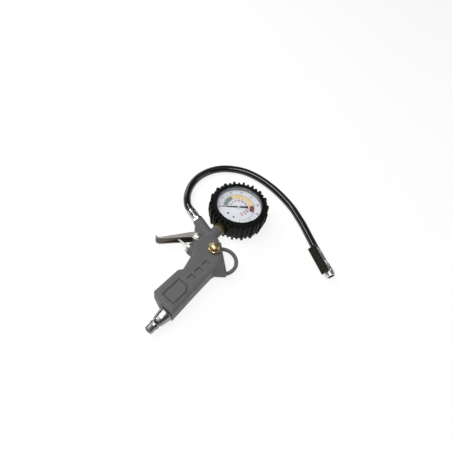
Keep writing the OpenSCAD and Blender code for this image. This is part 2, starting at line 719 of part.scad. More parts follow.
body();
inlet_plug();
inlet_seal();
lever();
lever_pin();
lever_pin_clip();
valve_gland();
valve_stem();
stem_oring();
poppet_seal();
valve_spring();
bleed_body();
bleed_washer();
bleed_button();
bleed_spring();
bleed_poppet_seal();
bleed_retainer();
hose_nipple();
gun_ferrule();
hose();
chuck_ferrule();
chuck_body();
chuck_seal();
chuck_depressor();
chuck_cap();
chuck_lever();
chuck_lever_pin();
chuck_spring();
gauge_socket();
gauge_washer();
gauge_case();
gauge_bezel();
lens_gasket();
gauge_lens();
dial_plate();
dial_screws();
stop_pin();
pointer();
pinion_arbor();
hairspring();
sector_gear();
sector_arbor();
link_pin();
drive_link();
movement_back_plate();
movement_front_plate();
movement_pillars();
movement_screws();
bourdon_tube();
tube_tip();
gauge_boot();
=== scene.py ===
import json
import math

import bmesh
import bpy
from mathutils import Matrix, Vector


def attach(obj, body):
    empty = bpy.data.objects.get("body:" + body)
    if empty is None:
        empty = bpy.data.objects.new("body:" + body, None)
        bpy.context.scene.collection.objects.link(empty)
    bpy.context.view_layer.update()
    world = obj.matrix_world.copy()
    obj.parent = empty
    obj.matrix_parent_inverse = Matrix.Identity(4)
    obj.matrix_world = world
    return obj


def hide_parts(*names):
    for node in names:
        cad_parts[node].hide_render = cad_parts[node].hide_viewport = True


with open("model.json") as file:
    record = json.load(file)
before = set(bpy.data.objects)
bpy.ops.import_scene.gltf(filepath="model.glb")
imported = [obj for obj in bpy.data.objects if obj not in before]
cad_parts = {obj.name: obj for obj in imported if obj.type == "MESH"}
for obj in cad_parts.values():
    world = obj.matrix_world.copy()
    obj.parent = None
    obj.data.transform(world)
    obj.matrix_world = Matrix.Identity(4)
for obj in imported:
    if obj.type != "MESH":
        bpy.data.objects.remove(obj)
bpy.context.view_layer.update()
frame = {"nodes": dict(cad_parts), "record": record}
NODES = frame["nodes"]
scene = bpy.context.scene
scene.view_settings.view_transform = "Standard"

# The frame's origin, in mm from the gauge's axis
CENTRE = (3.4, -75.5)
MM = 0.001
# Places in the body that the pieces share, in mm from the gauge's axis
MID_Z = 12.0
JUNCTION = (0, -54)
BARREL_ANGLE = math.radians(163)
BARREL_LEN = 47.05
BLEED_AT = (19.5, -70)
INLET_AT = (32, -163)


def P(x, y, z):
    """A point given in mm from the gauge's axis, in the frame's metres."""
    return Vector(((x - CENTRE[0]) / 1000, (y - CENTRE[1]) / 1000, z / 1000))


def lin(r, g, b):
    """A colour given as 0-255 sRGB, as linear values."""
    return tuple(((c / 255 + 0.055) / 1.055) ** 2.4 if c > 10 else c / 255 / 12.92 for c in (r, g, b))


# ---------------------------------------------------------------- camera

cam = bpy.data.objects.new("camera", bpy.data.cameras.new("camera"))
scene.collection.objects.link(cam)
scene.camera = cam
cam.data.sensor_width = 36
cam.data.lens = 34.31
cam.data.clip_start, cam.data.clip_end = 0.01, 20
# Columns: the view's right, up and back directions, and the camera's place in metres
cam.matrix_world = Matrix((
    (0.7573, -0.5807, 0.2983, 0.1622), (0.6413, 0.5762, -0.5065, -0.2273), (0.1222, 0.5749, 0.8090, 0.453),
    (0, 0, 0, 1)))

# ---------------------------------------------------------------- mesh helpers


def mesh_object(name, verts, faces, body="gun", sharp=28):
    """A mesh that rides on a body and shades smooth except across edges sharper than sharp degrees."""
    me = bpy.data.meshes.new(name)
    me.from_pydata([tuple(v) for v in verts], [], faces)
    me.update()
    ob = bpy.data.objects.new(name, me)
    scene.collection.objects.link(ob)
    me.shade_smooth()
    me.set_sharp_from_angle(angle=math.radians(sharp))
    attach(ob, body)
    return ob


def along(x, y, a):
    """Local +Z points along a direction in the table's plane, from the point given at the body's mid height."""
    o = P(x, y, MID_Z)
    return Matrix(((0, -math.sin(a) * MM, math.cos(a) * MM, o.x), (0, math.cos(a) * MM, math.sin(a) * MM, o.y),
                   (-MM, 0, 0, o.z), (0, 0, 0, 1)))


def upright(x, y):
    """Local +Z straight up from the table, from the point given."""
    return Matrix.Translation(P(x, y, 0)) @ Matrix.Scale(MM, 4)


# The chuck's own axes, turned and rolled as it lies
CHUCK_AT = (105.5, 31, 6.9)
CHUCK_TURN, CHUCK_ROLL = math.radians(-29), math.radians(50)
TURN_C, TURN_S = math.cos(CHUCK_TURN), math.sin(CHUCK_TURN)
ROLL_C, ROLL_S = math.cos(CHUCK_ROLL), math.sin(CHUCK_ROLL)
CHUCK_X = Vector((TURN_C, TURN_S, 0))
CHUCK_Y = Vector((-TURN_S * ROLL_C, TURN_C * ROLL_C, ROLL_S))
CHUCK_Z = Vector((TURN_S * ROLL_S, -TURN_C * ROLL_S, ROLL_C))


def chuck_frame():
    """Local +Z along the chuck."""
    m = Matrix((-CHUCK_Z, CHUCK_Y, CHUCK_X)).transposed().to_4x4() @ Matrix.Scale(MM, 4)
    m.translation = P(*CHUCK_AT)
    return m


def eased(points, radius, closed):
    """Rounds the corners of a profile of (r, z, across flats or None), each in three steps."""
    steps, out, count = 3, [], len(points)
    for i, p in enumerate(points):
        if not closed and i in (0, count - 1):
            out.append(p)
            continue
        a, b = points[i - 1], points[(i + 1) % count]
        va, vb = Vector((a[0] - p[0], a[1] - p[1])), Vector((b[0] - p[0], b[1] - p[1]))
        d = min(radius, 0.4 * va.length, 0.4 * vb.length)
        if va.length < 1e-6 or vb.length < 1e-6 or abs(va.normalized().dot(vb.normalized())) > 0.985:
            out.append(p)
            continue
        c = Vector(p[:2])
        s, e = c + va.normalized() * d, c + vb.normalized() * d
        for k in range(steps + 1):
            t = k / steps
            q = s * (1 - t) ** 2 + c * 2 * t * (1 - t) + e * t * t
            out.append((q.x, q.y, p[2]))
    return out


def turned(name, m, points, body="gun", *, ease, seg=96, closed=True, shape=None, sharp=28):
    """A turned piece about local +Z. A row with a width across flats is cut to a hexagon of that width."""
    rows = eased([tuple(p) + (None,) * (3 - len(p)) for p in points], ease, closed)
    verts, faces, rings = [], [], []
    for r, z, af in rows:
        if r < 1e-6:
            rings.append([len(verts)])
            verts.append(m @ Vector((0, 0, z)))
            continue
        ring = []
        for k in range(seg):
            a = 360 * k / seg
            q = r
            if af:
                q = min(r, af / 2 / math.cos(math.radians(a % 60 - 30)))
            if shape:
                q = shape(math.radians(a), z, q)
            ring.append(len(verts))
            verts.append(m @ Vector((q * math.cos(math.radians(a)), q * math.sin(math.radians(a)), z)))
        rings.append(ring)
    pairs = list(zip(rings, rings[1:])) + ([(rings[-1], rings[0])] if closed else [])
    for u, v in pairs:
        for k in range(seg):
            j = (k + 1) % seg
            if len(u) == 1:
                faces.append((u[0], v[j], v[k]))
            elif len(v) == 1:
                faces.append((u[k], u[j], v[0]))
            else:
                faces.append((u[k], u[j], v[j], v[k]))
    ob = mesh_object(name, verts, faces, body, sharp)
    bm = bmesh.new()
    bm.from_mesh(ob.data)
    bmesh.ops.recalc_face_normals(bm, faces=bm.faces)
    bm.to_mesh(ob.data)
    bm.free()
    ob.data.set_sharp_from_angle(angle=math.radians(sharp))
    return ob


def by_angle(angle):
    """A node group that shades smooth except across edges sharper than angle degrees."""
    g = bpy.data.node_groups.new(f"smooth_{angle}", "GeometryNodeTree")
    g.interface.new_socket("Geometry", in_out="INPUT", socket_type="NodeSocketGeometry")
    g.interface.new_socket("Geometry", in_out="OUTPUT", socket_type="NodeSocketGeometry")
    n = g.nodes
    i, o = n.new("NodeGroupInput"), n.new("NodeGroupOutput")
    e = n.new("GeometryNodeInputMeshEdgeAngle")
    c = n.new("FunctionNodeCompare")
    c.data_type, c.operation = "FLOAT", "LESS_EQUAL"
    c.inputs[1].default_value = math.radians(angle)
    f = n.new("GeometryNodeSetShadeSmooth")
    f.domain = "FACE"
    s = n.new("GeometryNodeSetShadeSmooth")
    s.domain = "EDGE"
    g.links.new(e.outputs[0], c.inputs[0])
    g.links.new(i.outputs[0], f.inputs[0])
    g.links.new(f.outputs[0], s.inputs[0])
    g.links.new(c.outputs[0], s.inputs["Shade Smooth"])
    g.links.new(s.outputs[0], o.inputs[0])
    return g


SMOOTH = by_angle(32)


def welded(node):
    """A CAD node with its own shading dropped and its facets' corners joined."""
    ob = NODES[node]
    if "custom_normal" in ob.data.attributes:
        ob.data.attributes.remove(ob.data.attributes["custom_normal"])
    ob.data.shade_smooth()
    ob.modifiers.new("weld", "WELD").merge_threshold = 2e-6
    return ob


def rounded(node, width):
    """Breaks a CAD node's edges by a bevel of so many mm."""
    ob = welded(node)
    d = ob.modifiers.new("flat", "DECIMATE")
    d.decimate_type, d.angle_limit = "DISSOLVE", math.radians(0.6)
    if width:
        b = ob.modifiers.new("edges", "BEVEL")
        b.width, b.segments, b.limit_method, b.angle_limit = width / 1000, 2, "ANGLE", math.radians(30)
        b.miter_outer = "MITER_ARC"
    ob.modifiers.new("shade", "NODES").node_group = SMOOTH
    if width:
        ob.modifiers.new("even", "WEIGHTED_NORMAL").keep_sharp = True


def moulded(node, voxel, smooth):
    """Melts a CAD node's edges as a casting or moulding has them, with a voxel in mm and passes of smoothing."""
    ob = welded(node)
    r = ob.modifiers.new("skin", "REMESH")
    r.mode, r.voxel_size, r.use_smooth_shade = "VOXEL", voxel / 1000, True
    s = ob.modifiers.new("soften", "SMOOTH")
    s.factor, s.iterations = 0.5, smooth


# ---------------------------------------------------------------- materials


class Look:
    """A Principled material whose colour, roughness and relief come from procedural nodes."""

    def __init__(self, name, srgb, rough, metal, vary, scale, tint=None, **sockets):
        colour = lin(*srgb)
        self.m = bpy.data.materials.new(name)
        self.m.use_nodes = True
        self.t = self.m.node_tree
        self.n, self.l = self.t.nodes, self.t.links
        self.n.clear()
        self.out = self.n.new("ShaderNodeOutputMaterial")
        self.b = self.n.new("ShaderNodeBsdfPrincipled")
        self.l.new(self.b.outputs[0], self.out.inputs["Surface"])
        self.b.inputs["Metallic"].default_value = metal
        for k, v in sockets.items():
            self.b.inputs[k.replace("_", " ")].default_value = v
        self.pos = self.n.new("ShaderNodeTexCoord").outputs["Object"]
        self.height = None
        # Colour: two scales of slow variation
        big = self.noise(scale, 3, 0.55)
        small = self.noise(scale * 9, 5, 0.6)
        both = self.math("ADD", self.math("MULTIPLY", big, 0.6), self.math("MULTIPLY", small, 0.4))
        f = self.ramp(both, 0.3, 0.7)
        dark = tuple(c * (1 - vary) for c in colour) + (1,)
        light = tuple(min(1, c * (1 + vary)) for c in (lin(*tint) if tint else colour)) + (1,)
        self.colour = self.mix(f, dark, light)
        # Roughness follows its own pattern
        r = self.ramp(self.noise(scale * 4, 6, 0.65), 0.3, 0.7)
        spread = min(rough * (0.12 if metal else 0.35), 0.12)
        self.rough = self.span(r, rough - spread, rough + spread)

    def noise(self, scale, detail, roughness, pos=None, dims="3D"):
        """Noise over the object's own coordinates, or over what pos says."""
        t = self.n.new("ShaderNodeTexNoise")
        t.noise_dimensions = dims
        t.inputs["Scale"].default_value = scale
        t.inputs["Detail"].default_value = detail
        t.inputs["Roughness"].default_value = roughness
        if dims == "1D":
            self.l.new(pos, t.inputs["W"])
        else:
            self.l.new(pos or self.pos, t.inputs["Vector"])
        return t.outputs[0]

    def math(self, op, *values):
        """A sum or product of sockets and numbers."""
        m = self.n.new("ShaderNodeMath")
        m.operation = op
        for i, v in enumerate(values):
            if isinstance(v, (int, float)):
                m.inputs[i].default_value = v
            else:
                self.l.new(v, m.inputs[i])
        return m.outputs[0]

    def ramp(self, v, lo, hi):
        """0 to 1, eased, as a value goes from lo to hi."""
        r = self.n.new("ShaderNodeMapRange")
        r.interpolation_type = "SMOOTHSTEP"
        r.inputs[1].default_value, r.inputs[2].default_value = lo, hi
        self.l.new(v, r.inputs[0])
        return r.outputs[0]

    def span(self, v, lo, hi):
        """lo to hi, as a value goes from 0 to 1."""
        r = self.n.new("ShaderNodeMapRange")
        r.inputs[3].default_value, r.inputs[4].default_value = lo, hi
        self.l.new(v, r.inputs[0])
        return r.outputs[0]

    def mix(self, f, a, b):
        """The colours a to b, as a mask goes from 0 to 1."""
        m = self.n.new("ShaderNodeMix")
        m.data_type = "RGBA"
        self.l.new(f, m.inputs[0])
        for i, v in ((6, a), (7, b)):
            if isinstance(v, tuple):
                m.inputs[i].default_value = v if len(v) == 4 else v + (1,)
            else:
                self.l.new(v, m.inputs[i])
        return m.outputs[2]

    def surface(self, what):
        """What the geometry node says of the surface."""
        return self.n.new("ShaderNodeNewGeometry").outputs[what]

    def dot(self, vector, way):
        """How far a vector goes in a direction."""
        d = self.n.new("ShaderNodeVectorMath")
        d.operation = "DOT_PRODUCT"
        self.l.new(vector, d.inputs[0])
        d.inputs[1].default_value = way
        return d.outputs["Value"]

    def part(self, i):
        """One coordinate of the place, in metres."""
        s = self.n.new("ShaderNodeSeparateXYZ")
        self.l.new(self.pos, s.inputs[0])
        return s.outputs[i]

    def bump(self, height, distance):
        """Relief, its distance in mm, on top of what is there already."""
        b = self.n.new("ShaderNodeBump")
        b.inputs["Strength"].default_value = 1.0
        b.inputs["Distance"].default_value = distance / 1000
        self.l.new(height, b.inputs["Height"])
        if self.height is not None:
            self.l.new(self.height, b.inputs["Normal"])
        self.height = b.outputs[0]
        return self

    def grain(self, scale, distance, detail=3):
        """Fine all-over relief."""
        return self.bump(self.noise(scale, detail, 0.6), distance)

    def lines(self, axis, scale, distance):
        """Fine turning marks round the axis."""
        return self.bump(self.noise(scale, 2, 0.5, self.dot(self.pos, axis), "1D"), distance)

    def scratches(self, distance, turn=0.6):
        """Long thin scratches at one slant, a little rougher than the metal round them."""
        m = self.n.new("ShaderNodeMapping")
        m.inputs["Rotation"].default_value = (0.3, 0.2, turn)
        m.inputs["Scale"].default_value = (25, 900, 900)
        self.l.new(self.pos, m.inputs[0])
        s = self.ramp(self.noise(1.0, 2, 0.5, m.outputs[0]), 0.62, 0.7)
        self.rough = self.math("ADD", self.rough, self.math("MULTIPLY", s, 0.06))
        return self.bump(s, distance)

    def worn(self, srgb, lo, hi, amount, rough=0.0):
        """Edges rubbed to another colour."""
        e = self.ramp(self.surface("Pointiness"), lo, hi)
        e = self.math("MULTIPLY", e, self.span(self.noise(300, 4, 0.6), amount * 0.3, amount * 1.5))
        return self.tinted(e, srgb, rough)

    def tinted(self, where, srgb, rough=0.0):
        """Another colour, and a change of roughness, where a mask says."""
        self.colour = self.mix(where, self.colour, lin(*srgb))
        if rough:
            self.rough = self.math("ADD", self.rough, self.math("MULTIPLY", where, rough))
        return self

    def hollows(self, srgb, lo, hi, amount):
        """Hollows and inside corners darkened with painted shade."""
        return self.tinted(self.math("MULTIPLY", self.ramp(self.surface("Pointiness"), lo, hi), amount), srgb)

    def specks(self, srgb, scale, lo, hi, amount):
        """Small spots of another colour."""
        return self.tinted(self.math("MULTIPLY", self.ramp(self.noise(scale, 2, 0.5), lo, hi), amount), srgb)

    def done(self):
        """Joins everything up and returns the material."""
        self.l.new(self.colour, self.b.inputs["Base Color"])
        self.l.new(self.rough, self.b.inputs["Roughness"])
        if self.height is not None:
            self.l.new(self.height, self.b.inputs["Normal"])
        return self.m


# Axes that turning marks run round
UP, ALONG_X, ALONG_Y = (0, 0, 1), (1, 0, 0), (0, 1, 0)
BARREL_WAY = Vector((math.cos(BARREL_ANGLE), math.sin(BARREL_ANGLE), 0))

cast = Look("cast_paint", (97, 97, 98), 0.5, 0.0, 0.05, 30, Specular_IOR_Level=0.16)
cast.specks((136, 136, 138), 2600, 0.6, 0.72, 0.35).specks((60, 60, 62), 1900, 0.62, 0.74, 0.3)
cast.grain(1500, 0.03).grain(160, 0.05, 2)
# The parting line, a low ridge at the body's mid height
off_middle = cast.math("ABSOLUTE", cast.math("SUBTRACT", cast.part(2), MID_Z / 1000))
cast.bump(cast.math("SUBTRACT", 1.0, cast.ramp(off_middle, 0.0001, 0.0004)), 0.08)
# Edges rubbed lighter by wear, and painted shade darkening the hollows, such as the grip marks' grooves
cast.worn((110, 110, 110), 0.53, 0.6, 0.25, -0.05).hollows((40, 40, 41), 0.49, 0.44, 0.85)
cast = cast.done()

nickel = Look("lever_nickel", (188, 186, 181), 0.3, 0.6, 0.08, 55)
nickel.grain(1300, 0.001).grain(140, 0.01, 2).scratches(0.001)
# Painted shade on the inside of the lever's channel: between its two cheeks, on faces that turn to the handle, the
# nickel is painted darker and made rougher
level, face = nickel.part(2), nickel.dot(nickel.surface("Normal"), (0.829, -0.559, 0))
inside = nickel.math("MULTIPLY", nickel.ramp(level, 0.0060, 0.0062), nickel.ramp(level, 0.0181, 0.0176))
inside = nickel.math("MULTIPLY", inside, nickel.ramp(face, -0.5, -0.2))
nickel = nickel.tinted(inside, (84, 78, 68), 0.12).done()


def turned_metal(name, srgb, rough, vary, scale, axis, marks, grain, tint=None):
    """A metal with turning marks round an axis, (scale, mm), and a grain, (scale, mm)."""
    return Look(name, srgb, rough, 1.0, vary, scale, tint).lines(axis, *marks).grain(*grain)


def plain(name, srgb, rough, metal, vary, scale, grain, **sockets):
    """A material with a grain only, (scale, mm)."""
    return Look(name, srgb, rough, metal, vary, scale, **sockets).grain(*grain)


inlet = turned_metal("plug_nickel", (142, 142, 143), 0.22, 0.06, 60, ALONG_Y, (3800, 0.006), (500, 0.004)).done()
chrome = turned_metal("fitting_nickel", (184, 184, 185), 0.15, 0.07, 60, BARREL_WAY, (3600, 0.006), (700, 0.004)).done()
chuck_plate = turned_metal("chuck_nickel", (218, 218, 217), 0.26, 0.08, 60, CHUCK_X, (3600, 0.002), (700, 0.002)).done()
pin_steel = turned_metal("pin_steel", (212, 210, 205), 0.36, 0.08, 120, UP, (4200, 0.004), (900, 0.006)).done()
gland_steel = turned_metal("gland_steel", (190, 188, 182), 0.3, 0.1, 120, ALONG_X, (4200, 0.008), (900, 0.006)).done()
brass = turned_metal("bleed_brass", (188, 170, 126), 0.32, 0.09, 90, UP, (4200, 0.005), (800, 0.006), (198, 180, 136))
brass = brass.specks((150, 112, 60), 420, 0.6, 0.75, 0.35).done()
socket_brass = turned_metal(
    "socket_brass", (160, 142, 90), 0.36, 0.14, 90, ALONG_Y, (4200, 0.006), (700, 0.008), (178, 160, 106))
socket_brass = socket_brass.specks((96, 74, 36), 380, 0.56, 0.72, 0.5).done()

dark_nickel = plain("chuck_lever_nickel", (80, 76, 70), 0.3, 1.0, 0.1, 70, (2400, 0.001)).scratches(0.0008, 1.2).done()
spring_steel = plain("spring_steel", (150, 150, 150), 0.35, 1.0, 0.1, 150, (1500, 0.004)).done()
bronze = plain("tube_bronze", (196, 150, 100), 0.3, 1.0, 0.12, 90, (900, 0.006)).done()
screw_dark = plain("screw_dark", (88, 86, 92), 0.34, 1.0, 0.12, 300, (2500, 0.005)).done()
fibre = plain("fibre_washer", (96, 52, 32), 0.8, 0.0, 0.25, 200, (2200, 0.03)).done()
nylon = plain("sealing_washer", (140, 134, 118), 0.5, 0.0, 0.06, 150, (1500, 0.01)).done()
seal = plain("seal_rubber", (30, 30, 30), 0.6, 0.0, 0.2, 150, (1800, 0.02)).done()
case_paint = plain("case_paint", (44, 45, 47), 0.38, 0.0, 0.12, 80, (1400, 0.012)).done()
black_enamel = plain("pointer_enamel", (26, 26, 28), 0.38, 0.0, 0.15, 200, (2500, 0.004)).done()
gasket_look = plain("gasket_grey", (132, 135, 138), 0.5, 0.0, 0.08, 120, (1500, 0.01)).done()
enamel = plain("dial_enamel", (184, 184, 189), 0.42, 0.0, 0.02, 60, (1200, 0.003), Specular_IOR_Level=0.4).done()
hose_look = plain("hose_rubber", (11, 11, 12), 0.3, 0.0, 0.16, 35, (2600, 0.002), Specular_IOR_Level=0.05,
                  Coat_Weight=1.0, Coat_Roughness=0.05, Coat_IOR=1.6)
hose_look = hose_look.specks((52, 52, 54), 900, 0.64, 0.74, 0.3).done()
boot_look = plain("boot_rubber", (8, 8, 9), 0.5, 0.0, 0.15, 60, (1500, 0.02), Specular_IOR_Level=0.14)
boot_look.grain(220, 0.04, 2).specks((40, 40, 42), 1300, 0.62, 0.74, 0.3)
boot_look = boot_look.worn((48, 48, 50), 0.53, 0.62, 0.3).done()


def ink(name, r, g, b):
    """A printing ink on the dial."""
    return plain(name, (r, g, b), 0.5, 0.0, 0.06, 260, (2600, 0.002), Specular_IOR_Level=0.3).done()


ink_black, ink_red = ink("ink_black", 26, 26, 38), ink("ink_red", 122, 32, 42)
ink_green, ink_amber = ink("ink_green", 98, 110, 110), ink("ink_amber", 192, 168, 116)
ink_dark_red = ink("ink_dark_red", 106, 50, 54)

# Clear plastic that lets light through to the dial
lens_look = bpy.data.materials.new("lens_clear")
lens_look.use_nodes = True
nodes, links = lens_look.node_tree.nodes, lens_look.node_tree.links
nodes.clear()
out = nodes.new("ShaderNodeOutputMaterial")
mixed = nodes.new("ShaderNodeMixShader")
clear = nodes.new("ShaderNodeBsdfTransparent")
glass = nodes.new("ShaderNodeBsdfPrincipled")
for socket, value in (("Base Color", (0.97, 0.985, 0.985, 1)), ("Transmission Weight", 1.0), ("IOR", 1.2)):
    glass.inputs[socket].default_value = value
smear = nodes.new("ShaderNodeTexNoise")
smear.inputs["Scale"].default_value = 40
spread = nodes.new("ShaderNodeMapRange")
spread.inputs[3].default_value, spread.inputs[4].default_value = 0.0, 0.05
ray = nodes.new("ShaderNodeLightPath")
links.new(smear.outputs[0], spread.inputs[0])
links.new(spread.outputs[0], glass.inputs["Roughness"])
links.new(ray.outputs["Is Shadow Ray"], mixed.inputs[0])
links.new(glass.outputs[0], mixed.inputs[1])
links.new(clear.outputs[0], mixed.inputs[2])
links.new(mixed.outputs[0], out.inputs["Surface"])

# ---------------------------------------------------------------- hose

# From inside the barrel's ferrule, round on the table, to inside the chuck's ferrule
BEGIN = Vector((*JUNCTION, MID_Z)) + BARREL_LEN * BARREL_WAY
END = Vector(CHUCK_AT) - 0.05 * CHUCK_X
ROUTE = [Vector(p) for p in (
    BEGIN - 1.5 * BARREL_WAY, BEGIN, BEGIN + 2 * BARREL_WAY,
    (-54, -36.4, 11.3), (-63, -28, 9.5), (-70, -18.5, 7.3), (-75.5, -8, 5.6),
    (-79, 3.5, 5.05), (-80, 16, 5.05), (-78, 29, 5.05), (-73, 41.5, 5.05), (-65, 52.5, 5.05), (-54, 62, 5.05),
    (-41.5, 69, 5.05), (-27, 73, 5.05), (-12, 74.5, 5.05), (3, 74, 5.05), (18, 72, 5.05), (33, 68.5, 5.05),
    (47, 64, 5.05), (60, 58, 5.05), (72, 52, 5.05), (83.5, 45, 5.3), (94.5, 38, 6.0),
    END - 2 * CHUCK_X, END, END + 1.5 * CHUCK_X)]


def smooth_route(p, n):
    """A Catmull-Rom curve through the points, n steps between each two."""
    out = []
    for i in range(len(p) - 1):
        a, b = p[max(i - 1, 0)], p[i]
        c, d = p[i + 1], p[min(i + 2, len(p) - 1)]
        for k in range(n):
            t = k / n
            q = 0.5 * ((2 * b) + (c - a) * t + (2 * a - 5 * b + 4 * c - d) * t * t + (3 * b - a - 3 * c + d) * t ** 3)
            out.append(q)
    return out + [p[-1]]


line = smooth_route(ROUTE, 6)
# A hair thinner than the CAD hose, and the number of sides that its round takes
HOSE_R, SIDES = 4.97, 32
verts, faces = [], []
for i, c in enumerate(line):
    way = (line[min(i + 1, len(line) - 1)] - line[max(i - 1, 0)]).normalized()
    side = way.cross(Vector((0, 0, 1))).normalized()
    top = side.cross(way)
    for k in range(SIDES):
        a = 2 * math.pi * k / SIDES
        verts.append(P(*(c + HOSE_R * (math.cos(a) * side + math.sin(a) * top))))
for i in range(len(line) - 1):
    for k in range(SIDES):
        j = (k + 1) % SIDES
        faces.append((i * SIDES + k, i * SIDES + j, (i + 1) * SIDES + j, (i + 1) * SIDES + k))
faces.append(tuple(range(SIDES - 1, -1, -1)))
faces.append(tuple(range((len(line) - 1) * SIDES, len(line) * SIDES)))
hose = mesh_object("air_hose", verts, faces)
hose.data.materials.append(hose_look)
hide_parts("hose")


# ---------------------------------------------------------------- turned pieces


def crimp(z0, z1):
    """Flats pressed into a ferrule's outside between two distances, fading out at both ends."""
    flats, depth, fade, outside = 8, 0.3, 0.7, 5

    def shape(a, z, r):
        """The radius at an angle and a distance."""
        if r < outside:
            return r
        k = max(0.0, min(1.0, (z - z0) / fade, (z1 - z) / fade))
        k = k * k * (3 - 2 * k)
        return r - depth * k * (0.5 + 0.5 * math.cos(flats * a)) ** 0.7
    return shape


def ferrule(name, m, n, z0, node, material):
    """A ferrule n mm long from z0, with two rolled grooves and crimped flats between them."""
    r, bore, rim, edge = 5.68, 2.7, 5.2, 0.4
    first, second, before, after = z0 + n * 0.3, z0 + n * 0.66, 0.15, 1.35
    groove = ((-before, 0), (0.0, 0.12), (0.35, 0.42), (0.85, 0.42), (1.2, 0.12), (after, 0))

    def straight(a, b, steps):
        """Rows along the plain wall between two distances."""
        return [(r, a + (b - a) * i / steps) for i in range(1, steps)]

    rows = [(rim, z0), (r, z0 + edge)] + [(r - k, first + d) for d, k in groove]
    rows += straight(first + after, second - before, 6) + [(r - k, second + d) for d, k in groove]
    rows += straight(second + after, z0 + n - edge, 5)
    rows += [(r, z0 + n - edge), (rim, z0 + n), (bore, z0 + n), (bore, z0)]
    ob = turned(name, m, rows, ease=0.06, shape=crimp(first + after, second - before), sharp=40)
    ob.data.materials.append(material)
    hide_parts(node)
    return ob


barrel = along(*JUNCTION, BARREL_ANGLE)
ferrule("gun_ferrule_crimped", barrel, 15, 32, "gun_ferrule", chrome)
chuck_ferrule = ferrule("chuck_ferrule_crimped", chuck_frame(), 11, 0, "chuck_ferrule", chuck_plate)


def chamfer(z0, z1, af):
    """Rows of a hexagon with both ends chamfered."""
    flat, corner = af / 2 * 0.96, af / math.sqrt(3) - 0.03
    k = (corner - flat) * 0.55
    lower = [(flat + (corner - flat) * i / 5, z0 + k * i / 5, af) for i in range(6)]
    upper = [(flat + (corner - flat) * (5 - i) / 5, z1 - k * (5 - i) / 5, af) for i in range(6)]
    return lower + upper


nipple = turned("hose_nipple_hex", barrel, [(4.8, 20.2), (4.8, 28.5)] + chamfer(28.52, 31.95, 11.5)
                + [(2.6, 31.98), (2.6, 46), (1.5, 46), (1.5, 20.2)], ease=0.05)
nipple.data.materials.append(chrome)
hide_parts("hose_nipple")

plug = turned("inlet_plug_turned", along(*INLET_AT, math.radians(-90)), [
    (2.9, -13), (5.75, -13), (6.5, -12), (6.5, 0.0), (8.5, 0.0), (8.5, 1.2), (7.75, 5.4), (7, 9.5), (6.6, 9.5),
    (6.6, 12.6), (4.6, 12.7), (4.6, 13.7), (5, 14.2), (5.4, 15), (5.9, 16), (5.9, 17.2), (5.2, 19), (5, 19.6),
    (5, 25.5), (4.4, 26.5), (3.2, 26.5), (2.9, 26.1)], ease=0.25)
plug.data.materials.append(inlet)
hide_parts("inlet_plug")

hexagon = turned("bleed_hex", upright(*BLEED_AT), [(5, 13), (5, 24.82)] + chamfer(24.84, 28.78, 14)
                 + [(4.2, 28.8), (4.2, 24), (1.9, 24), (1.9, 18), (3.7, 18), (3.7, 13)], ease=0.05)
hexagon.data.materials.append(brass)
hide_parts("bleed_body")

# The button's dome is a cap of a sphere: its rim's radius, its top, the sphere's radius and the degrees it spans
RIM, TOP, SPHERE, CAP = 5.6, 33.58, 7.5, 48
dome = [RIM * math.sin(math.radians(a)) / math.sin(math.radians(CAP)) for a in range(CAP, -1, -4)]
button = turned("bleed_button_turned", upright(*BLEED_AT), [(0, 14), (1.5, 14), (1.5, 30.6), (5.2, 30.6), (5.58, 30.9)]
                + [(r, TOP - SPHERE + math.sqrt(SPHERE ** 2 - r ** 2)) for r in dome],
                "bleed_button", ease=0.1, closed=False)
button.data.materials.append(brass)
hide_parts("bleed_button")

bezel = turned("gauge_bezel_rolled", upright(0, 0), [
    (31.05, 22.5), (31.6, 22.5), (31.6, 29.4), (31.2, 30.2), (30.6, 30.58), (29.4, 30.4), (29.05, 30.1), (29.0, 29.82),
    (30.5, 29.82), (31.05, 29.2)], seg=160, ease=0.2)
bezel.data.materials.append(case_paint)
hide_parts("gauge_bezel")

# ---------------------------------------------------------------- dial


def flat_mesh(name, polys, z, thick, material):
    """Flat pieces with a little thickness, given as outlines in mm and triangles."""
    verts, faces = [], []
    for pts, tris in polys:
        n, m = len(verts), len(pts)
        verts += [P(x, y, z) for x, y in pts] + [P(x, y, z + thick) for x, y in pts]
        if tris is None:
            faces.append(tuple(n + m + i for i in range(m)))
            faces.append(tuple(n + i for i in reversed(range(m))))
            faces += [(n + i, n + (i + 1) % m, n + m + (i + 1) % m, n + m + i) for i in range(m)]
        else:
            faces += [tuple(n + m + i for i in t) for t in tris]
            faces += [tuple(n + i for i in reversed(t)) for t in tris]
    ob = mesh_object(name, verts, faces)
    ob.data.materials.append(material)


def polar(r, a):
    """A point of the dial from its radius and its direction in degrees."""
    return (r * math.cos(math.radians(a)), r * math.sin(math.radians(a)))


def band(r0, r1, a0, a1, step=2.0):
    """Part of a ring, in pieces of about step degrees."""
    n = max(1, round(abs(a1 - a0) / step))
    out = []
    for i in range(n):
        a, b = a0 + (a1 - a0) * i / n, a0 + (a1 - a0) * (i + 1) / n
        q = [polar(r0, a), polar(r1, a), polar(r1, b), polar(r0, b)]
        out.append((q if a1 > a0 else q[::-1], None))
    return out


def tick(r0, r1, a, width):
    """A line of the scale between two radii."""
    c, s = math.cos(math.radians(a)), math.sin(math.radians(a))
    w = width / 2
    return ([(r0 * c + w * s, r0 * s - w * c), (r1 * c + w * s, r1 * s - w * c), (r1 * c - w * s, r1 * s + w * c),
             (r0 * c - w * s, r0 * s + w * c)], None)


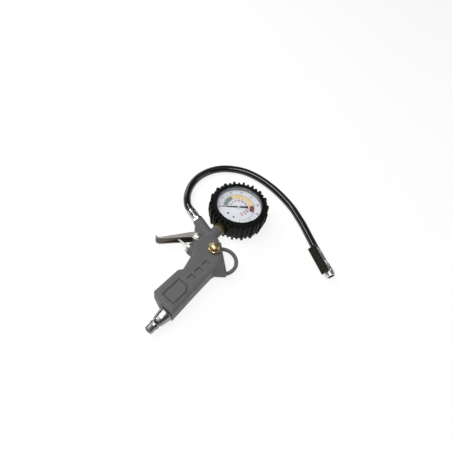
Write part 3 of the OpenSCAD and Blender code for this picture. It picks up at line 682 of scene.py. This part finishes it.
def numeral(text, r, a, height):
    """A number, upright, centred on a point of the dial."""
    cu = bpy.data.curves.new("numeral", "FONT")
    cu.body, cu.size, cu.align_x, cu.align_y = text, height / 0.7, "CENTER", "CENTER"
    cu.resolution_u = 4
    cu.offset = 0.035 * height
    ob = bpy.data.objects.new("numeral", cu)
    scene.collection.objects.link(ob)
    bpy.context.view_layer.update()
    me = bpy.data.meshes.new_from_object(ob.evaluated_get(bpy.context.evaluated_depsgraph_get()))
    x, y = polar(r, a)
    pts = [(v.co.x + x, v.co.y + y) for v in me.vertices]
    tris = [tuple(p.vertices) if p.normal.z > 0 else tuple(reversed(p.vertices)) for p in me.polygons]
    bpy.data.objects.remove(ob)
    bpy.data.curves.remove(cu)
    bpy.data.meshes.remove(me)
    return (pts, tris)


# The zero mark's direction and the whole scale's sweep, in degrees
ZERO, SWEEP = 222, 270
# The dial's top, the ink's thickness and the coloured bands' radii, in mm
DIAL_Z, INK = 23.6, 0.03
BAND_IN, BAND_OUT = 14.3, 19.5
for name, start, stop, colour in (("green", 216, 162, ink_green), ("amber", 162, 52, ink_amber),
                                  ("red", 51.5, 19, ink_dark_red)):
    flat_mesh(f"dial_band_{name}", band(BAND_IN, BAND_OUT, start, stop), DIAL_Z + 0.01, INK, colour)

# Outer scale, 0 to 16 with 80 divisions
outer = []
for i in range(81):
    r_out, width = (22.3, 0.42) if i % 10 == 0 else (21.6, 0.3) if i % 5 == 0 else (21.0, 0.18)
    outer.append(tick(19.9, r_out, ZERO - SWEEP * i / 80, width))
for v in range(0, 17, 2):
    outer.append(numeral(str(v), 24.8, ZERO - SWEEP * v / 16, 2.8))
outer += band(19.75, 19.95, ZERO, ZERO - SWEEP, 3)

# Inner scale, 0 to 230, whose full sweep is 232
inner, FULL = [], 232
for v in range(0, 231, 5):
    r_in, width = (12.6, 0.42) if v % 20 == 0 else (13.2, 0.2)
    inner.append(tick(r_in, 13.9, ZERO - SWEEP * v / FULL, width))
for v in range(0, 221, 20):
    inner.append(numeral(str(v), 10.6, ZERO - SWEEP * v / FULL, 2.2))
inner += band(13.85, 14.0, ZERO, ZERO - SWEEP * 230 / FULL, 3)
flat_mesh("dial_scale_outer", outer, DIAL_Z + 0.015, INK, ink_black)
flat_mesh("dial_scale_inner", inner, DIAL_Z + 0.015, INK, ink_red)

boss = turned("pointer_boss", upright(0, 0), [(0.5, 24.95), (2.0, 24.95), (2.0, 25.3), (1.5, 25.55), (0.5, 25.55)],
              "pointer", seg=48, ease=0.12)
boss.data.materials.append(pin_steel)

# ---------------------------------------------------------------- CAD nodes shown

moulded("body", 0.42, 4)
moulded("gauge_boot", 0.45, 3)
# Each pressed or turned node's bevel, in mm
for n, w in (("lever", 0.22), ("lever_pin", 0.15), ("lever_pin_clip", 0.12), ("valve_gland", 0.2), ("inlet_seal", 0.2),
             ("bleed_washer", 0.1), ("chuck_body", 0.18), ("chuck_cap", 0.25), ("chuck_lever", 0.25),
             ("chuck_lever_pin", 0.12), ("gauge_socket", 0.3), ("gauge_washer", 0.1), ("gauge_case", 0.2),
             ("dial_plate", 0.05), ("dial_screws", 0.1), ("stop_pin", 0.08), ("pointer", 0.06)):
    rounded(n, w)
# The rest, which are hidden or already fine, get clean shading and no bevel
for n in NODES:
    if not NODES[n].modifiers:
        rounded(n, 0)

# The record's slots, and two nodes that differ from their slot
LOOKS = {
    "cast_body": cast, "inlet_steel": inlet, "seal_rubber": seal, "lever_steel": nickel, "pin_steel": pin_steel,
    "gland_steel": gland_steel, "spring_steel": spring_steel, "valve_brass": brass, "fibre_washer": fibre,
    "sealing_washer": nylon, "fitting_steel": chrome, "hose_rubber": hose_look, "chuck_steel": chuck_plate,
    "chuck_lever_steel": dark_nickel, "gauge_brass": socket_brass, "tube_bronze": bronze, "case_paint": case_paint,
    "lens_clear": lens_look, "dial_white": enamel, "pointer_black": black_enamel, "boot_rubber": boot_look}
OWN = {"dial_screws": screw_dark, "lens_gasket": gasket_look}
for row in frame["record"]["subparts"]:
    ob = NODES[row["node"]]
    ob.data.materials.clear()
    ob.data.materials.append(OWN.get(row["node"], LOOKS[row["material_slot"]]))

# ---------------------------------------------------------------- table and lights

# A pale table that glows a little, so that it stays white under soft light
EDGE, DROP = 8, -0.0001
table = bpy.data.meshes.new("table")
table.from_pydata([(x * EDGE, y * EDGE, DROP) for x, y in ((-1, -1), (1, -1), (1, 1), (-1, 1))], [], [(0, 1, 2, 3)])
floor = bpy.data.objects.new("table", table)
scene.collection.objects.link(floor)
white = bpy.data.materials.new("table_white")
white.use_nodes = True
for socket, value in (("Base Color", (0.2, 0.2, 0.2, 1)), ("Roughness", 0.9), ("Specular IOR Level", 0.1),
                      ("Emission Color", (1, 1, 1, 1)), ("Emission Strength", 0.82)):
    white.node_tree.nodes["Principled BSDF"].inputs[socket].default_value = value
table.materials.append(white)

# A grey studio: pale at the horizon, dark just above it and lighter overhead
world = bpy.data.worlds.new("studio")
scene.world = world
world.use_nodes = True
nodes, links = world.node_tree.nodes, world.node_tree.links
background = nodes["Background"]
coordinates = nodes.new("ShaderNodeTexCoord")
height = nodes.new("ShaderNodeSeparateXYZ")
shades = nodes.new("ShaderNodeValToRGB")
stops = shades.color_ramp.elements
stops[0].position, stops[0].color = 0.0, (0.95, 0.95, 0.95, 1)
stops[1].position, stops[1].color = 1.0, (0.3, 0.3, 0.3, 1)
for p, v in ((0.05, 0.9), (0.12, 0.1), (0.3, 0.06), (0.5, 0.09), (0.75, 0.18), (0.88, 0.24)):
    stops.new(p).color = (v, v, v, 1)
links.new(coordinates.outputs["Generated"], height.inputs[0])
links.new(height.outputs[2], shades.inputs[0])
links.new(shades.outputs[0], background.inputs[0])
background.inputs[1].default_value = 1.0


def area(name, at, size, watts):
    """A soft box that faces the frame's origin, its size in metres."""
    d = bpy.data.lights.new(name, "AREA")
    d.shape, d.size, d.size_y, d.energy = "RECTANGLE", size[0], size[1], watts
    o = bpy.data.objects.new(name, d)
    scene.collection.objects.link(o)
    o.location = at
    o.rotation_mode = "QUATERNION"
    o.rotation_quaternion = (-Vector(at)).to_track_quat("-Z", "Y")


area("key", (-0.1, -0.35, 1.2), (1.3, 0.62), 11.4)
area("front", (-0.42, -1.2, 0.46), (0.9, 0.16), 1.0)
area("right", (1.0, 0.66, 0.5), (0.9, 0.2), 1.8)
area("left", (-0.84, -0.1, 0.84), (0.9, 0.16), 4)
area("back", (-1.0, 0.62, 0.34), (0.7, 0.16), 1.2)
